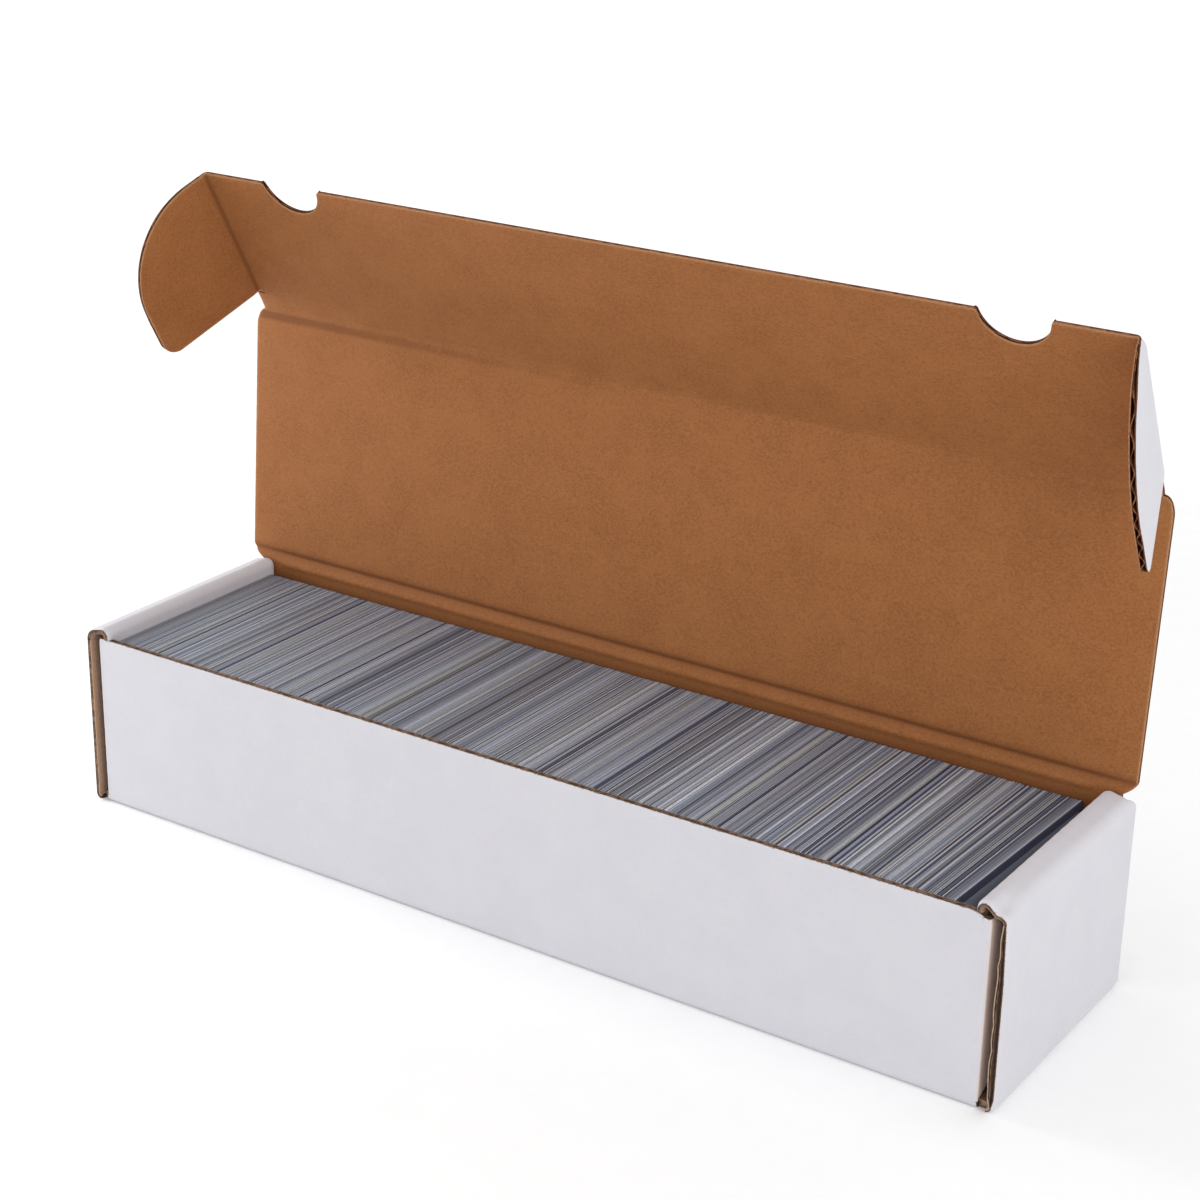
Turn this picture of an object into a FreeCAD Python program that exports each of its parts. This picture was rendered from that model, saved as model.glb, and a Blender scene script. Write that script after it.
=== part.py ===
"""A hinged-lid card storage box, folded from one corrugated blank and filled with a row of cards.

Millimetres. X runs along the box, -Y is the front, +Z is up. The origin is the middle of the underside.
"""

import FreeCAD, Part
import os

import Sketcher

SIZES = {
    "board": 2.6,
    "bay_length": 355.6,
    "bay_depth": 92.1,
    "front_height": 67.7,
    "rim_height": 4.3,
    "slot_width": 3.3,
    "seam": 0.1,
    "edge_proud": 0.3,
    "lid_clearance": 0.4,
    "flap_clearance": 1.4,
    "crease_gap": 0.3,
    "crest_proud": 0.4,
    "crest_drop": 2.5,
    "rim_bend": 5.0,
    "rim_fold": 3.2,
    "rim_slope": 14.0,
    "rim_gap": 0.8,
    "corner_reach": 40.0,
    "corner_drop": 1.5,
    "corner_fold": 0.8,
    "corner_round": 9.0,
    "tab_length": 26.0,
    "tab_offset": 24.0,
    "tab_taper": 1.2,
    "tab_clearance": 0.2,
    "tab_lift": 0.3,
    "lid_corner_width": 3.0,
    "lid_corner_height": 6.0,
    "lid_corner_round": 3.0,
    "tuck_height": 67.2,
    "notch_offset": 143.6,
    "notch_radius": 12.7,
    "notch_rise": 1.0,
    "notch_lip": 1.2,
    "ear_reach": 45.9,
    "ear_start": 9.5,
    "ear_taper": 0.4,
    "ear_tip": 4.5,
    "ear_corner": 36.5,
    "lid_lean": 4.0,
    "tuck_fold": 33.0,
    "left_ear_fold": 73.8,
    "right_ear_fold": 73.8,
    "card_width": 88.9,
    "card_height": 63.5,
    "card_corner": 3.2,
    "card_gap": 0.3,
    "finger_gap": 5.8,
}
CARD_BLOCKS = 8
TOLERANCE = 0.01
SIDES = {"left": -1, "right": 1}

# Places that several panels share, as expressions of the sizes.
INNER_X = "Sizes.bay_length / 2"
FLAP_X = f"{INNER_X} + Sizes.board + Sizes.seam"
SLOT_X = f"{FLAP_X} + Sizes.board"
OUTER_X = f"{SLOT_X} + Sizes.slot_width"
SIDE_X = f"{OUTER_X} + Sizes.board"
EAR_X = f"{SLOT_X} + Sizes.slot_width / 2"
HINGE_X = f"{SIDE_X} - Sizes.lid_corner_width"
INNER_Y = "Sizes.bay_depth / 2"
FRONT_Y = f"{INNER_Y} + Sizes.board"
EDGE_Y = f"{FRONT_Y} + Sizes.edge_proud"
HINGE_Y = f"{INNER_Y} + Sizes.board / 2"
RIM_TOP = "Sizes.front_height + Sizes.rim_height"
HINGE_Z = f"{RIM_TOP} + Sizes.lid_clearance + Sizes.board / 2"
LID_REACH = f"{HINGE_Y} + {EDGE_Y} + Sizes.flap_clearance + Sizes.board / 2"
CREASE = "Sizes.board / 2 + Sizes.crease_gap"
FLOOR_Z = "Sizes.board + Sizes.seam"
CORNER_TOP = "Sizes.front_height - Sizes.corner_drop"

doc = FreeCAD.newDocument("card_storage_box")
sheet = doc.addObject("Spreadsheet::Sheet", "Sizes")
for row, (alias, number) in enumerate(SIZES.items(), start=1):
    sheet.set(f"A{row}", alias)
    sheet.set(f"B{row}", str(number))
    sheet.setAlias(f"B{row}", alias)
doc.recompute()


def value(expression):
    """The number that an expression of the sizes gives now."""
    return float(sheet.evalExpression(expression))


def signed(side, expression):
    """The expression on the positive side, or mirrored on the negative one."""
    return expression if side > 0 else f"-({expression})"


def arc(start, end, radius, turn):
    """The shorter arc between two points, turning left for turn 1 and right for turn -1."""
    chord = end - start
    across = FreeCAD.Vector(-chord.y, chord.x, 0).normalize()
    rise = max(0.0, radius**2 - (chord.Length / 2) ** 2) ** 0.5
    centre = start + chord / 2 + across * (rise * turn)
    first, last = (start, end) if turn > 0 else (end, start)
    circle = Part.Circle(centre, FreeCAD.Vector(0, 0, 1), radius)
    return Part.ArcOfCircle(circle, circle.parameter(first), circle.parameter(last))


def outline(sketch, corners):
    """Draws a closed outline and ties each corner to the sizes.

    A corner is (across, up), or (across, up, radius, turn) where an arc leads on to the next corner.
    """
    base = sketch.GeometryCount
    points = [FreeCAD.Vector(value(corner[0]), value(corner[1]), 0) for corner in corners]
    heads = [2 if len(corner) == 4 and corner[3] < 0 else 1 for corner in corners]
    for index, corner in enumerate(corners):
        start, end = points[index], points[(index + 1) % len(points)]
        if len(corner) == 4:
            sketch.addGeometry(arc(start, end, value(corner[2]), corner[3]))
        else:
            sketch.addGeometry(Part.LineSegment(start, end))
    for index, corner in enumerate(corners):
        following = (index + 1) % len(corners)
        edge, head = base + index, heads[index]
        link = Sketcher.Constraint("Coincident", edge, 3 - head, base + following, heads[following])
        sketch.addConstraint(link)
        tie(sketch, Sketcher.Constraint("DistanceX", edge, head, points[index].x), corner[0])
        tie(sketch, Sketcher.Constraint("DistanceY", edge, head, points[index].y), corner[1])
        if len(corner) == 4:
            tie(sketch, Sketcher.Constraint("Radius", edge, value(corner[2])), corner[2])


def tie(sketch, constraint, expression):
    """Adds a constraint whose size follows an expression."""
    index = sketch.addConstraint(constraint)
    sketch.setExpression(f"Constraints[{index}]", expression)


def new_body(name):
    body = doc.addObject("PartDesign::Body", name)
    body.Label = name
    return body


def pad(body, plane, outlines, length, midplane=False):
    """Extrudes outlines, drawn on one of the body's own planes, along that plane's normal."""
    sketch = body.newObject("Sketcher::SketchObject", f"{body.Name}_outline")
    support = [feature for feature in body.Origin.OriginFeatures if feature.Role == plane][0]
    sketch.AttachmentSupport = (support, [""])
    sketch.MapMode = "FlatFace"
    for corners in outlines:
        outline(sketch, corners)
    feature = body.newObject("PartDesign::Pad", f"{body.Name}_pad")
    feature.Profile = sketch
    feature.setExpression("Length", length)
    feature.Midplane = midplane
    sketch.Visibility = False
    doc.recompute()
    return feature


def bead(body, radius, length, axis, base):
    """Adds a round bead along an axis, starting at base, as the rounded edge of a crease."""
    feature = body.newObject("PartDesign::AdditiveCylinder", f"{body.Name}_bead")
    feature.setExpression("Radius", radius)
    feature.setExpression("Height", length)
    turn = {"X": "vector(0; 1; 0); 90", "Z": "vector(0; 0; 1); 0"}[axis]
    feature.setExpression("Placement", f"placement(vector({'; '.join(base)}); rotation({turn}))")
    doc.recompute()


def move(body, x="0", y="0", z="0"):
    body.setExpression("Placement", f"placement(vector({x}; {y}; {z}); rotation(vector(0; 0; 1); 0))")


def rectangle(low_x, high_x, low_y, high_y):
    return [(low_x, low_y), (high_x, low_y), (high_x, high_y), (low_x, high_y)]


def bottom_panel():
    """The floor, with four slots for the inner walls' locking tabs."""
    outlines = [rectangle(f"-({OUTER_X})", OUTER_X, f"-{INNER_Y}", INNER_Y)]
    half = "(Sizes.tab_length / 2 + Sizes.tab_clearance)"
    for side in SIDES.values():
        near = signed(side, f"{INNER_X} - Sizes.tab_clearance")
        far = signed(side, f"{INNER_X} + Sizes.board + Sizes.tab_clearance")
        for end in (-1, 1):
            middle = signed(end, "Sizes.tab_offset")
            outlines.append(rectangle(near, far, f"{middle} - {half}", f"{middle} + {half}"))
    body = new_body("bottom_panel")
    pad(body, "XY_Plane", outlines, "Sizes.board")


def long_wall(name, side, top):
    """A front or rear wall, with a rounded fold from the floor that runs on below the corner flaps."""
    body = new_body(name)
    fold = [
        (signed(side, INNER_Y), "0", "Sizes.board", side),
        (signed(side, FRONT_Y), "Sizes.board"),
        (signed(side, INNER_Y), "Sizes.board"),
    ]
    pad(body, "YZ_Plane", [fold], f"2 * ({SLOT_X})", midplane=True)
    wall = rectangle(signed(side, INNER_Y), signed(side, FRONT_Y), "Sizes.board", top)
    pad(body, "YZ_Plane", [wall], f"2 * ({FLAP_X})", midplane=True)
    return body


def rear_wall():
    """The rear wall, wider above the corner flaps, with a crest below the lid's crease."""
    body = long_wall("rear_wall", 1, CORNER_TOP)
    strip = rectangle(INNER_Y, FRONT_Y, CORNER_TOP, HINGE_Z)
    pad(body, "YZ_Plane", [strip], f"2 * ({HINGE_X})", midplane=True)
    start = f"-({HINGE_X})"
    length = f"2 * ({HINGE_X})"
    bead(body, "Sizes.board / 2", length, "X", (start, HINGE_Y, HINGE_Z))
    crest = f"{HINGE_Z} - Sizes.crest_drop"
    bead(body, "Sizes.board / 2 + Sizes.crest_proud", length, "X", (start, HINGE_Y, crest))


def corner_flap(name, side, end):
    """A flap that folds sharply off a long wall's end and lies against the inner side wall."""
    body = new_body(name)
    reach = f"{INNER_Y} - Sizes.corner_reach"
    fold_x = f"{SLOT_X} - Sizes.corner_fold"
    fold_y = f"{FRONT_Y} - Sizes.corner_fold"
    section = [
        (signed(side, FLAP_X), signed(end, FRONT_Y)),
        (signed(side, fold_x), signed(end, FRONT_Y), "Sizes.corner_fold", -side * end),
        (signed(side, SLOT_X), signed(end, fold_y)),
        (signed(side, SLOT_X), signed(end, reach)),
        (signed(side, FLAP_X), signed(end, reach)),
    ]
    feature = pad(body, "XY_Plane", [section], f"{CORNER_TOP} - ({FLOOR_Z})")
    free_edges = []
    for index, edge in enumerate(feature.Shape.Edges, start=1):
        box = edge.BoundBox
        apart = max(box.YLength, box.ZLength, abs(box.YMin - value(signed(end, reach))))
        if apart < TOLERANCE:
            free_edges.append(f"Edge{index}")
    rounding = body.newObject("PartDesign::Fillet", f"{name}_round")
    rounding.Base = (feature, free_edges)
    rounding.setExpression("Radius", "Sizes.corner_round")
    move(body, z=FLOOR_Z)


# The rim's two bends: the outer one stands on the side wall, the inner one on the inner wall.
LEAN = "Sizes.rim_slope * 1 deg"
BEND_X = f"({SIDE_X} - Sizes.rim_bend)"
FOLD_X = f"({INNER_X} + Sizes.rim_fold)"
FOLD_Z = f"({RIM_TOP} - Sizes.rim_fold)"
STEP = "(Sizes.rim_bend - Sizes.rim_fold)"
STRIP = f"(({BEND_X} - {FOLD_X} + {STEP} * sin({LEAN})) / cos({LEAN}))"
BEND_Z = f"({FOLD_Z} - {STEP} * cos({LEAN}) - {STRIP} * sin({LEAN}))"


def outer_wall(name, side):
    """A side wall, with the rounded fold that leads up from the floor."""
    body = new_body(name)
    section = [
        (signed(side, OUTER_X), "0", "Sizes.board", side),
        (signed(side, SIDE_X), "Sizes.board"),
        (signed(side, SIDE_X), BEND_Z),
        (signed(side, OUTER_X), BEND_Z),
    ]
    pad(body, "XZ_Plane", [section], f"2 * ({EDGE_Y})", midplane=True)


def rim(name, side):
    """The rolled top of a side wall: an outer bend, a sloping strip and a fold down into the box."""

    def around(centre_x, centre_z, radius):
        across = signed(side, f"{centre_x} + ({radius}) * sin({LEAN})")
        return across, f"{centre_z} + ({radius}) * cos({LEAN})"

    section = [
        (signed(side, SIDE_X), BEND_Z, "Sizes.rim_bend", side),
        around(BEND_X, BEND_Z, "Sizes.rim_bend"),
        (*around(FOLD_X, FOLD_Z, "Sizes.rim_fold"), "Sizes.rim_fold", side),
        (signed(side, INNER_X), FOLD_Z),
        (signed(side, f"{INNER_X} + Sizes.board"), FOLD_Z, "Sizes.rim_fold - Sizes.board", -side),
        around(FOLD_X, FOLD_Z, "Sizes.rim_fold - Sizes.board"),
        (*around(BEND_X, BEND_Z, "Sizes.rim_bend - Sizes.board"), "Sizes.rim_bend - Sizes.board", -side),
        (signed(side, OUTER_X), BEND_Z),
    ]
    body = new_body(name)
    back = f"{INNER_Y} - Sizes.rim_gap"
    pad(body, "XZ_Plane", [section], f"{back} + {EDGE_Y}")
    move(body, y=back)


def inner_wall(name, side):
    """The inner ply of a side wall, with two tabs that lock into the floor's slots."""
    body = new_body(name)
    end = f"({INNER_Y} - Sizes.seam)"
    corners = [(f"-{end}", FLOOR_Z)]
    for middle in ("-Sizes.tab_offset", "Sizes.tab_offset"):
        corners.append((f"{middle} - Sizes.tab_length / 2", FLOOR_Z))
        corners.append((f"{middle} - Sizes.tab_length / 2 + Sizes.tab_taper", "Sizes.tab_lift"))
        corners.append((f"{middle} + Sizes.tab_length / 2 - Sizes.tab_taper", "Sizes.tab_lift"))
        corners.append((f"{middle} + Sizes.tab_length / 2", FLOOR_Z))
    corners += [(end, FLOOR_Z), (end, FOLD_Z), (f"-{end}", FOLD_Z)]
    pad(body, "YZ_Plane", [corners], "Sizes.board")
    move(body, x=INNER_X if side > 0 else f"-({INNER_X} + Sizes.board)")


def lid_panel():
    """The lid, with clipped corners at its hinge and a rounded crease that carries the tuck flap."""
    body = new_body("lid_panel")
    shoulder = f"{CREASE} + Sizes.lid_corner_height"
    round_z = f"{LID_REACH} - Sizes.lid_corner_round"
    round_x = f"{SIDE_X} - Sizes.lid_corner_round"
    corners = [
        (f"-({HINGE_X})", CREASE),
        (HINGE_X, CREASE),
        (SIDE_X, shoulder),
        (SIDE_X, round_z, "Sizes.lid_corner_round", 1),
        (round_x, LID_REACH),
        (f"-({round_x})", LID_REACH, "Sizes.lid_corner_round", 1),
        (f"-({SIDE_X})", round_z),
        (f"-({SIDE_X})", shoulder),
    ]
    pad(body, "XZ_Plane", [corners], "Sizes.board", midplane=True)
    bead(body, "Sizes.board / 2", f"2 * ({EAR_X})", "X", (f"-({EAR_X})", "0", LID_REACH))
    hinge = f"vector(0; {HINGE_Y}; {HINGE_Z})"
    body.setExpression("Placement", f"placement({hinge}; rotation(vector(1; 0; 0); -Sizes.lid_lean))")


def tuck_flap():
    """The tuck flap, with two round-lipped thumb notches and a rounded crease at each end for an ear."""
    body = new_body("tuck_flap")
    centres = "(Sizes.notch_radius + Sizes.notch_lip)"
    drop = "(Sizes.notch_rise + Sizes.notch_lip)"
    half = f"sqrt({centres} ^ 2 - {drop} ^ 2)"
    share = f"(Sizes.notch_radius / {centres})"
    touch = f"Sizes.tuck_height + Sizes.notch_rise - {drop} * {share}"
    corners = [(f"-({EAR_X})", CREASE), (EAR_X, CREASE), (EAR_X, "Sizes.tuck_height")]
    for middle in ("Sizes.notch_offset", "-Sizes.notch_offset"):
        corners.append((f"{middle} + {half}", "Sizes.tuck_height", "Sizes.notch_lip", 1))
        corners.append((f"{middle} + {half} * {share}", touch, "Sizes.notch_radius", -1))
        corners.append((f"{middle} - {half} * {share}", touch, "Sizes.notch_lip", 1))
        corners.append((f"{middle} - {half}", "Sizes.tuck_height"))
    corners.append((f"-({EAR_X})", "Sizes.tuck_height"))
    pad(body, "XZ_Plane", [corners], "Sizes.board", midplane=True)
    length = f"Sizes.tuck_height - ({CREASE})"
    for side in SIDES.values():
        bead(body, "Sizes.board / 2", length, "Z", (signed(side, EAR_X), "0", CREASE))
    fold = f"placement(vector(0; 0; {LID_REACH}); rotation(vector(1; 0; 0); Sizes.tuck_fold))"
    body.setExpression("Placement", f"lid_panel.Placement * {fold}")


def ear(name, side):
    """An ear on the tuck flap's end: a broad outer curve, a small round tip and a tapered lower edge.

    The outer curve ends a board's thickness or more from the crease.
    """
    body = new_body(name)
    far = signed(side, "Sizes.ear_reach")
    low = "Sizes.ear_start + Sizes.ear_taper"
    curve = f"min(Sizes.ear_corner; Sizes.ear_reach - ({CREASE}) - Sizes.board)"
    corners = [
        (signed(side, CREASE), "Sizes.ear_start"),
        (signed(side, "Sizes.ear_reach - Sizes.ear_tip"), low, "Sizes.ear_tip", side),
        (far, f"{low} + Sizes.ear_tip"),
        (far, f"Sizes.tuck_height - {curve}", curve, side),
        (signed(side, f"Sizes.ear_reach - {curve}"), "Sizes.tuck_height"),
        (signed(side, CREASE), "Sizes.tuck_height"),
    ]
    pad(body, "XZ_Plane", [corners], "Sizes.board", midplane=True)
    angle = "-Sizes.right_ear_fold" if side > 0 else "Sizes.left_ear_fold"
    fold = f"placement(vector({signed(side, EAR_X)}; 0; 0); rotation(vector(0; 0; 1); {angle}))"
    body.setExpression("Placement", f"tuck_flap.Placement * {fold}")


def card_block(name, index):
    """A stack of cards on edge, which fills its share of the bay beside the finger gap."""
    body = new_body(name)
    half, top, bend = "Sizes.card_width / 2", "Sizes.card_height", "Sizes.card_corner"
    corners = [
        (f"-{half} + {bend}", "0"),
        (f"{half} - {bend}", "0", bend, 1),
        (half, bend),
        (half, f"{top} - {bend}", bend, 1),
        (f"{half} - {bend}", top),
        (f"-{half} + {bend}", top, bend, 1),
        (f"-{half}", f"{top} - {bend}"),
        (f"-{half}", bend, bend, 1),
    ]
    share = f"(Sizes.bay_length - Sizes.finger_gap) / {CARD_BLOCKS}"
    pad(body, "YZ_Plane", [corners], f"{share} - Sizes.card_gap")
    move(body, x=f"-{INNER_X} + Sizes.card_gap + {index} * {share}", z=FLOOR_Z)


bottom_panel()
long_wall("front_wall", -1, "Sizes.front_height")
rear_wall()
for word, sign in SIDES.items():
    outer_wall(f"{word}_outer_wall", sign)
    rim(f"{word}_rim", sign)
    inner_wall(f"{word}_inner_wall", sign)
    corner_flap(f"front_{word}_corner_flap", sign, -1)
    corner_flap(f"rear_{word}_corner_flap", sign, 1)
lid_panel()
tuck_flap()
for word, sign in SIDES.items():
    ear(f"{word}_ear", sign)
for number in range(CARD_BLOCKS):
    card_block(f"card_block_{number + 1}", number)
doc.recompute()

for item in doc.Objects:
    if "Invalid" in item.State or "Error" in item.State:
        raise RuntimeError(f"{item.Name} did not build: {item.State}")
bodies = [item for item in doc.Objects if item.TypeId == "PartDesign::Body"]
for body in bodies:
    if body.Shape.isNull() or not body.Shape.isValid() or len(body.Shape.Solids) != 1:
        raise RuntimeError(f"{body.Label} is not one valid solid")

os.makedirs("parts", exist_ok=True)
for body in bodies:
    body.Shape.exportStep(os.path.join("parts", f"{body.Label}.step"))
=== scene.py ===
"""The looks of a hinged-lid card storage box, folded from one corrugated blank and filled with cards.

Shapes are worked out in millimetres and put into their meshes in metres. X runs along the box, -Y is the
front and +Z is up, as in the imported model.
"""

import bpy
import numpy as np
from mathutils import Matrix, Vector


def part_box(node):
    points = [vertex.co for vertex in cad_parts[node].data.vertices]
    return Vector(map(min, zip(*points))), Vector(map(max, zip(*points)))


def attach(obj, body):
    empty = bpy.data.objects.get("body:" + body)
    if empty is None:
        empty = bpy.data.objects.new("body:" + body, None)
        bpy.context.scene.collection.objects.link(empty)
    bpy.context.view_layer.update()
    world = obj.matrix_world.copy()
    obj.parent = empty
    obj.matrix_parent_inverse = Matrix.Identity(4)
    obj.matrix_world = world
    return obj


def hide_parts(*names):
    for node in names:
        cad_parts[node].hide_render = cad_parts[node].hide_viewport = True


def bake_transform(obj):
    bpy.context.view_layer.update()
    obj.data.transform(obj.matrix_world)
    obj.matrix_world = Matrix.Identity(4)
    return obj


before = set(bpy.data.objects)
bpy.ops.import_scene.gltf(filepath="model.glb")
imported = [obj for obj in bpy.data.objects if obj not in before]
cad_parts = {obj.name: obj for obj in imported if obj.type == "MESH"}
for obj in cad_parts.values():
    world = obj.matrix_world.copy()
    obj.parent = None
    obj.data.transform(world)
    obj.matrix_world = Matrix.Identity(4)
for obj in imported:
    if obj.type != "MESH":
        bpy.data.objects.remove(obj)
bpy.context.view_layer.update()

MM = 0.001
FAR = 99.0
SIDES = {"left": -1, "right": 1}


def packed(node, corner=1):
    """The near (0) or far (1) corner of a packed panel's box in millimetres, to the nearest micrometre."""
    return np.round(np.array(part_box(node)[corner]) / MM, 3)


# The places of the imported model's panels.
OUTER_X, INNER_Y, BOARD = packed("bottom_panel")
SIDE_X, EDGE_Y, BEND_Z = packed("right_outer_wall")
SLOT_X, CORNER_TOP = packed("front_right_corner_flap")[[0, 2]]
FLAP_X, FLOOR_Z = packed("front_right_corner_flap", 0)[[0, 2]]
INNER_X = packed("right_inner_wall", 0)[0]
FRONT_TOP = packed("front_wall")[2]
FOLD_Z = packed("right_inner_wall")[2]
RIM_BACK = packed("right_rim")[1]
HINGE_X = packed("rear_wall")[0]
HALF = BOARD / 2
HINGE_Y, HINGE_Z = INNER_Y + HALF, 73.7
SEAM_Z = FRONT_TOP + 0.05
EAR_X, EAR_END, HINGE_END = 184.75, 184.95, 184.0
LID_REACH, TUCK_HEIGHT = 99.0, 67.2
RIM_BEND, RIM_FOLD, RIM_SLOPE, RIM_STRIP = 5.0, 3.2, 14.0, 3.541
TAB_Y, TAB_HALF, TAB_TAPER, TAB_GAP = 24.0, 13.0, 1.2, 0.2
FLOOR_FOLD = HALF * np.pi / 2
LEAN, TUCK_FOLD, EAR_FOLD = 4.0, 33.0, 73.8
SCORE_REACH = 3.5
SCORE_BAND = 6.5
CREST_REACH, CREST_ENDS = 5.2, (172.5, 176.5)
EAR_START, EAR_REACH = 9.5, 45.9

# The board's layers, its flutes and its cut edges.
LINER = 0.38
MEDIUM = 0.32
FLUTE_PITCH = 6.4
FLUTE_STEP = 0.54
SIDE_PHASE, TUCK_PHASE = 1.1, 1.3
WASHBOARD = 0.022
CUT_CRUSH = 0.10
SHUT_CRUSH = 0.20
EDGE_CRUSH = {"left": 0.4, "right": 0.7}
HOLLOW_REACH = 0.6
MASH_REACH = 0.3
LEAST_GAP = 0.02
CRUSH_REACH = 0.9
FOLD_INSIDE = 1.05
EDGE_STEPS = np.array([0.0, 0.2, 0.5, 0.9, 1.5])
EDGE_PRESS, LID_PRESS, PRESS_REACH = 1.0, 0.8, 2.0
PRESS_STEPS = np.array([0.5, 0.9, 1.5, 2.4, 4.0])
SHEET_STEP = 14.0

# The axes, the hinge and the directions of the open lid and its flap.
X = np.array([1.0, 0.0, 0.0])
Y = np.array([0.0, 1.0, 0.0])
Z = np.array([0.0, 0.0, 1.0])
LEAN_ANGLE = np.radians(LEAN)
TUCK_ANGLE = np.radians(TUCK_FOLD - LEAN)
HINGE = HINGE_Y * Y + HINGE_Z * Z
LID_UP = np.sin(LEAN_ANGLE) * Y + np.cos(LEAN_ANGLE) * Z
LID_OUT = np.cos(LEAN_ANGLE) * Y - np.sin(LEAN_ANGLE) * Z
SCORE = HINGE + LID_REACH * LID_UP
TUCK_UP = -np.sin(TUCK_ANGLE) * Y + np.cos(TUCK_ANGLE) * Z
TUCK_OUT = np.cos(TUCK_ANGLE) * Y + np.sin(TUCK_ANGLE) * Z

# Materials.


def put(tree, kind, inputs=None, **settings):
    """A new node with its settings, and its inputs set to a value or linked to a socket."""
    node = tree.nodes.new(kind)
    for key, setting in settings.items():
        setattr(node, key, setting)
    for key, given in (inputs or {}).items():
        if isinstance(given, bpy.types.NodeSocket):
            tree.links.new(given, node.inputs[key])
        else:
            node.inputs[key].default_value = given
    return node


def mixed(tree, share, first, second, blend="MIX"):
    """The colour that lies a share of the way from the first to the second."""
    node = put(tree, "ShaderNodeMix", data_type="RGBA", blend_type=blend)
    for index, given in ((0, share), (6, first), (7, second)):
        if isinstance(given, bpy.types.NodeSocket):
            tree.links.new(given, node.inputs[index])
        elif index == 0:
            node.inputs[index].default_value = given
        else:
            node.inputs[index].default_value = (*given, 1.0)
    return node.outputs[2]


def ranged(tree, given, low, high, to_low=0.0, to_high=1.0):
    """A value moved smoothly from one range to another, and held at its ends."""
    inputs = {"Value": given, "From Min": low, "From Max": high, "To Min": to_low, "To Max": to_high}
    return put(tree, "ShaderNodeMapRange", inputs, interpolation_type="SMOOTHSTEP").outputs["Result"]


def noise(tree, vector, scale, detail=3.0, roughness=0.55):
    """Cloudy noise from nought to one."""
    inputs = {"Vector": vector, "Scale": scale, "Detail": detail, "Roughness": roughness}
    return put(tree, "ShaderNodeTexNoise", inputs).outputs["Fac"]


def new_group(name, given, made):
    """An empty node group with named inputs and outputs, and its two end nodes."""
    group = bpy.data.node_groups.new(name, "ShaderNodeTree")
    for socket, kind in given.items():
        group.interface.new_socket(socket, in_out="INPUT", socket_type=kind)
    for socket, kind in made.items():
        group.interface.new_socket(socket, in_out="OUTPUT", socket_type=kind)
    return group, group.nodes.new("NodeGroupInput"), group.nodes.new("NodeGroupOutput")


def paper_fibre():
    """Paper's clouds, its fibres, which lie along the blank, its flecks and its surface height."""
    made = {name: "NodeSocketFloat" for name in ("Cloud", "Fibre", "Fleck", "Height")}
    group, start, end = new_group("paper_fibre", {"Vector": "NodeSocketVector"}, made)
    vector = start.outputs["Vector"]
    drawn = put(group, "ShaderNodeMapping", {"Vector": vector, "Scale": (0.7, 1.0, 1.0)}).outputs[0]
    cloud = noise(group, vector, 70.0, 4.0, 0.6)
    fibre = noise(group, drawn, 1350.0, 4.0, 0.7)
    fleck = ranged(group, noise(group, drawn, 2600.0, 2.0, 0.5), 0.63, 0.74)
    raised = put(group, "ShaderNodeMath", {0: fibre, 1: fleck}, operation="ADD").outputs[0]
    for name, socket in zip(made, (cloud, fibre, fleck, raised)):
        group.links.new(socket, end.inputs[name])
    return group


def cut_wear():
    """How far the printed face has worn near a cut or a crease, from the distance to it and the fibres."""
    given = {"Fibre": "NodeSocketFloat", "Reach": "NodeSocketFloat"}
    group, start, end = new_group("cut_wear", given, {"Wear": "NodeSocketFloat"})
    edge = put(group, "ShaderNodeAttribute", attribute_name="edge_mm").outputs["Fac"]
    shift = ranged(group, start.outputs["Fibre"], 0.3, 0.7, -0.35, 0.35)
    uneven = put(group, "ShaderNodeMath", {0: edge, 1: shift}, operation="ADD").outputs[0]
    away = put(group, "ShaderNodeMath", {0: uneven, 1: start.outputs["Reach"]}, operation="DIVIDE").outputs[0]
    group.links.new(ranged(group, away, 0.0, 1.0, 1.0, 0.0), end.inputs["Wear"])
    return group


FIBRE = paper_fibre()
WEAR = cut_wear()


def finish_start(name):
    """A new material with its shader, the object's own coordinates and the paper group on them."""
    material = bpy.data.materials.new(name)
    material.use_nodes = True
    tree = material.node_tree
    shader = tree.nodes["Principled BSDF"]
    place = put(tree, "ShaderNodeTexCoord").outputs["Object"]
    paper = put(tree, "ShaderNodeGroup", node_tree=FIBRE)
    tree.links.new(place, paper.inputs["Vector"])
    return material, tree, shader, paper.outputs


def finish_end(tree, shader, colour, roughness, height, depth, strength):
    """Links a finish's colour, roughness and bumps to its shader, with the bumps' depth in millimetres."""
    bump = put(tree, "ShaderNodeBump", {"Height": height, "Distance": depth * MM, "Strength": strength})
    tree.links.new(colour, shader.inputs["Base Color"])
    tree.links.new(roughness, shader.inputs["Roughness"])
    tree.links.new(bump.outputs["Normal"], shader.inputs["Normal"])


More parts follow.
